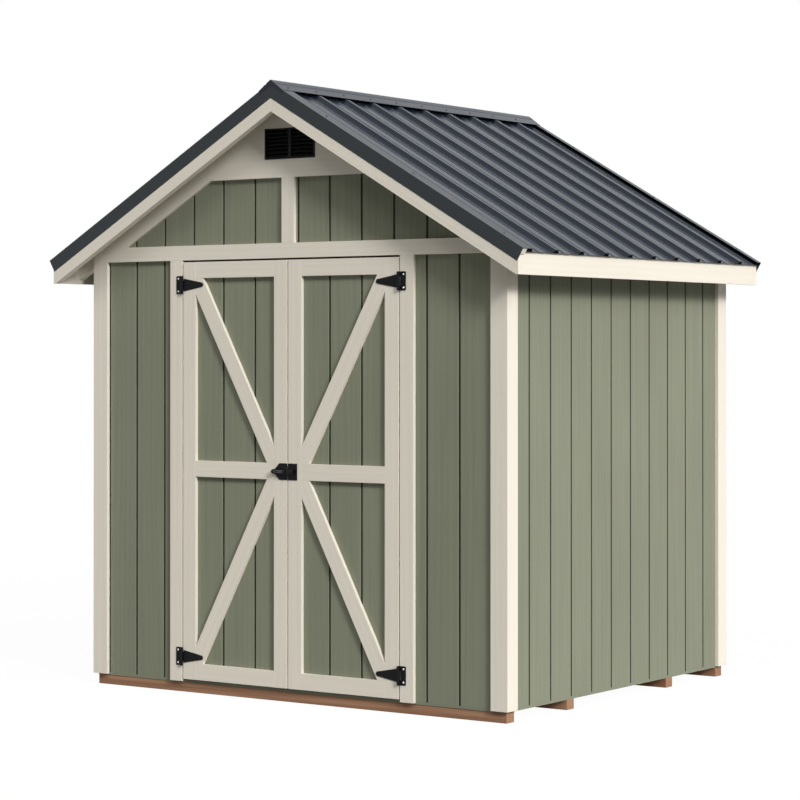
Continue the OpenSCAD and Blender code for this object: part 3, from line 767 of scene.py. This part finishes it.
def slope_block(slope, runs, ys, lifts):
    """Block on a slope between two runs, two places along the ridge and two lifts."""
    outline = [(ys[0], lifts[0]), (ys[1], lifts[0]), (ys[1], lifts[1]), (ys[0], lifts[1])]
    return prism(outline, slope.down * (runs[1] - runs[0]), slope.down * runs[0], Y, slope.normal)


def under_trims(slopes):
    """Black fill along the open edge of the back trims, as painted shade for the void under them,
    and painted blocks that close the ends of the front ones at the eaves."""
    trim = solid("rake_trims")
    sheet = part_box("roof_metal_right")
    back_edge = min(v.co.y for v in trim.verts if v.co.y > 0)
    shade_fills, blocks = [], []
    for slope in slopes:
        under = max(v.co.dot(slope.normal) for v in trim.verts) - slope.sheet_t
        shade_fills.append(slope_block(slope, (slope.top, slope.eave),
                                 (back_edge + SHADE_FILL_IN, sheet[1].y), (slope.pan, under)))
        blocks.append(slope_block(slope, (slope.eave - PLUG_LONG, slope.eave + PLUG_OUT),
                                  (sheet[0].y, min(slope.ribs) - RIB_REACH),
                                  (slope.pan - PLUG_DROP, under)))
    trim.free()
    add_piece("back_trim_foam", join(shade_fills), "shed", [black_shade_fill])
    add_piece("trim_end_blocks", join(blocks), "shed", [trim_paint])


def roof_screws(slopes):
    trim_y = [end.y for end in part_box("rake_trims")]
    trim = solid("rake_trims")
    cap = solid("ridge_cap")
    pans, trims, caps = [], [], []
    for slope in slopes:
        for rib in slope.ribs:
            for part in PAN_SCREW_ROWS:
                spot = slope.place(slope.share(part), rib - PAN_SCREW_ASIDE, slope.pan)
                pans.append((spot, slope.normal))
        lift = max(v.co.dot(slope.normal) for v in trim.verts)
        for y in (trim_y[0] + TRIM_SCREW_IN, trim_y[1] - TRIM_SCREW_IN / 2):
            for part in TRIM_SCREW_ROWS:
                trims.append((slope.place(slope.share(part), y, lift), slope.normal))
        wing = max(cap.faces, key=lambda f: f.calc_area() * (f.normal.x * slope.side > 0.55)
                   * (f.normal.z > 0))
        middle = wing.calc_center_median()
        caps += [(Vector((middle.x, rib, middle.z)), wing.normal.copy()) for rib in slope.ribs]
    trim.free()
    cap.free()
    add_screws("sheet_screws", roof_screw(), "shed", roof_steel, pans)
    add_screws("trim_screws", roof_screw(), "shed", edge_steel, trims)
    add_screws("cap_screws", roof_screw(), "shed", roof_steel, caps)


def all_roof():
    slopes = [Slope(1), Slope(-1)]
    roof_sheets()
    metal_edges()
    rib_closures(slopes)
    under_trims(slopes)
    roof_screws(slopes)


# ---- Louvre, hinges and latch ----


def louvre():
    bm = ease(solid("gable_vent"), FOLD_EASE)
    add_piece("gable_vent_louvre", bm, "shed", [vent_plastic], ["gable_vent"])


PLATE_SCREW_IN = 0.0125     # from the outer edge of a hinge plate
PLATE_SCREW_UP = 0.031      # above and below the middle of the plate
STRAP_SCREWS = (0.22, 0.55, 0.88)   # shares of the way along a strap


def front_plates(node):
    """(low corner, high corner) of the largest face that looks forward, part by part."""
    bm = solid(node)
    found = []
    for part in islands(bm):
        face = max(part, key=lambda f: f.calc_area() * (f.normal.y < -0.9))
        points = [v.co for v in face.verts]
        found.append((Vector([min(p[i] for p in points) for i in range(3)]),
                      Vector([max(p[i] for p in points) for i in range(3)])))
    bm.free()
    return found


def hinge_screws():
    """Plated screws in the plates on the casings."""
    spots = []
    for low, high in front_plates("hinge_plates"):
        middle = (low.z + high.z) / 2
        outer = low.x + PLATE_SCREW_IN if low.x < door_x else high.x - PLATE_SCREW_IN
        for rise in (-PLATE_SCREW_UP, PLATE_SCREW_UP):
            spots.append((Vector((outer, low.y, middle + rise)), OUT_FRONT))
    add_screws("hinge_plate_screws", pan_screw(), "shed", screw_zinc, spots)


def strap_screws(node, body):
    """Black screws along the straps on a leaf."""
    spots = []
    for low, high in front_plates(node):
        root, tip = (low.x, high.x) if body == "left_door" else (high.x, low.x)
        for part in STRAP_SCREWS:
            across = root + (tip - root) * part
            spots.append((Vector((across, low.y, (low.z + high.z) / 2)), OUT_FRONT))
    add_screws(node + "_screws", pan_screw(), body, black_steel, spots)


def ironwork(node, body, material=black_steel):
    bm = ease(solid(node), IRON_EASE, least=40)
    add_piece(node + "_forged", bm, body, [material], [node], smooth=35)


def all_ironwork():
    louvre()
    ironwork("hinge_plates", "shed")
    ironwork("left_hinge_straps", "left_door")
    ironwork("right_hinge_straps", "right_door")
    ironwork("latch_case", "left_door")
    ironwork("latch_bolt", "latch_bolt", bolt_steel)
    ironwork("latch_catch", "right_door")
    hinge_screws()
    strap_screws("left_hinge_straps", "left_door")
    strap_screws("right_hinge_straps", "right_door")


# ---- Studio ----

CAMERA_PLACE = Vector((7.3235, -10.588, 1.679))
CAMERA_TURN = 34.88     # degrees that it looks to the left of straight ahead
CAMERA_TILT = 0.38      # degrees that it looks up
CAMERA_LENS = 113.78
CAMERA_SHIFT = -0.0835

# One wide soft light from the right, as lamps with a broad disc each: turn from the front
# to the right, height, strength, width of the disc
KEYS = (
    (65, 26, 1.64, 11), (70, 18, 0.4, 11), (95, 28, 0.91, 16), (60, 38, 0.70, 16),
    (35, 50, 0.32, 16), (10, 48, 0.22, 16), (-25, 50, 0.28, 16),
)
AMBIENT = 0.142
AMBIENT_TINT = (0.94, 1.0, 0.96)
FLOOR_SHADE = 0.12      # how much of the shadow the floor shows
FLOOR_BOUNCE = 0.30     # how much light the floor sends back to the shed
FLOOR_GLOW = 1.1        # makes up for what the shade takes, so that the floor is white


def look_along(direction):
    return direction.to_track_quat("-Z", "Y").to_euler()


def camera():
    turn, tilt = math.radians(CAMERA_TURN), math.radians(CAMERA_TILT)
    ahead = Vector((-math.sin(turn) * math.cos(tilt), math.cos(turn) * math.cos(tilt),
                    math.sin(tilt)))
    data = bpy.data.cameras.new("camera")
    data.lens = CAMERA_LENS
    data.shift_y = CAMERA_SHIFT
    eye = bpy.data.objects.new("camera", data)
    eye.location = CAMERA_PLACE
    eye.rotation_euler = look_along(ahead)
    bpy.context.scene.collection.objects.link(eye)
    bpy.context.scene.camera = eye


def key_lights():
    for i, (turn, height, strength, spread) in enumerate(KEYS):
        azimuth, rise = math.radians(turn), math.radians(height)
        towards = Vector((math.sin(azimuth) * math.cos(rise),
                          -math.cos(azimuth) * math.cos(rise), math.sin(rise)))
        data = bpy.data.lights.new(f"key_{i}", "SUN")
        data.energy = strength
        data.angle = math.radians(spread)
        lamp = bpy.data.objects.new(f"key_{i}", data)
        lamp.rotation_euler = look_along(-towards)
        bpy.context.scene.collection.objects.link(lamp)


def shown_rays(tree):
    """1 on rays from the camera, from gloss and through glass, and 0 on the others."""
    path = tree.nodes.new("ShaderNodeLightPath")
    total = path.outputs["Is Camera Ray"]
    for name in ("Is Glossy Ray", "Is Transmission Ray"):
        add = tree.nodes.new("ShaderNodeMath")
        add.operation = "MAXIMUM"
        tree.links.new(total, add.inputs[0])
        tree.links.new(path.outputs[name], add.inputs[1])
        total = add.outputs[0]
    return total


def world():
    """White background, and a plain soft light on the object."""
    made = bpy.data.worlds.new("studio")
    bpy.context.scene.world = made
    made.use_nodes = True
    tree = made.node_tree
    tree.nodes.clear()
    soft = tree.nodes.new("ShaderNodeBackground")
    soft.inputs["Color"].default_value = (*AMBIENT_TINT, 1)
    soft.inputs["Strength"].default_value = AMBIENT
    white = tree.nodes.new("ShaderNodeBackground")
    white.inputs["Color"].default_value = (1, 1, 1, 1)
    mix = tree.nodes.new("ShaderNodeMixShader")
    tree.links.new(shown_rays(tree), mix.inputs["Fac"])
    tree.links.new(soft.outputs["Background"], mix.inputs[1])
    tree.links.new(white.outputs["Background"], mix.inputs[2])
    output = tree.nodes.new("ShaderNodeOutputWorld")
    tree.links.new(mix.outputs["Shader"], output.inputs["Surface"])


def studio_floor():
    """Pale floor that shows white, with a trace of the shed's shadow."""
    material = bpy.data.materials.new("studio_floor")
    material.use_nodes = True
    tree = material.node_tree
    tree.nodes.clear()
    white = tree.nodes.new("ShaderNodeEmission")
    matt = tree.nodes.new("ShaderNodeBsdfDiffuse")
    white.inputs["Strength"].default_value = FLOOR_GLOW
    matt.inputs["Color"].default_value = (FLOOR_BOUNCE, FLOOR_BOUNCE, FLOOR_BOUNCE, 1)
    share = tree.nodes.new("ShaderNodeMapRange")
    share.inputs["To Min"].default_value = 0.0
    share.inputs["To Max"].default_value = 1 - FLOOR_SHADE
    tree.links.new(shown_rays(tree), share.inputs["Value"])
    mix = tree.nodes.new("ShaderNodeMixShader")
    tree.links.new(share.outputs["Result"], mix.inputs["Fac"])
    tree.links.new(matt.outputs["BSDF"], mix.inputs[1])
    tree.links.new(white.outputs["Emission"], mix.inputs[2])
    output = tree.nodes.new("ShaderNodeOutputMaterial")
    tree.links.new(mix.outputs["Shader"], output.inputs["Surface"])
    bm = bmesh.new()
    bmesh.ops.create_circle(bm, cap_ends=True, segments=96, radius=60)
    mesh = bpy.data.meshes.new("studio_floor")
    bm.to_mesh(mesh)
    bm.free()
    mesh.materials.append(material)
    ground = bpy.data.objects.new("studio_floor", mesh)
    bpy.context.scene.collection.objects.link(ground)


all_boarding()
all_trim()
all_timber()
all_roof()
all_ironwork()
camera()
key_lights()
world()
studio_floor()
bpy.context.scene.view_settings.view_transform = "Standard"
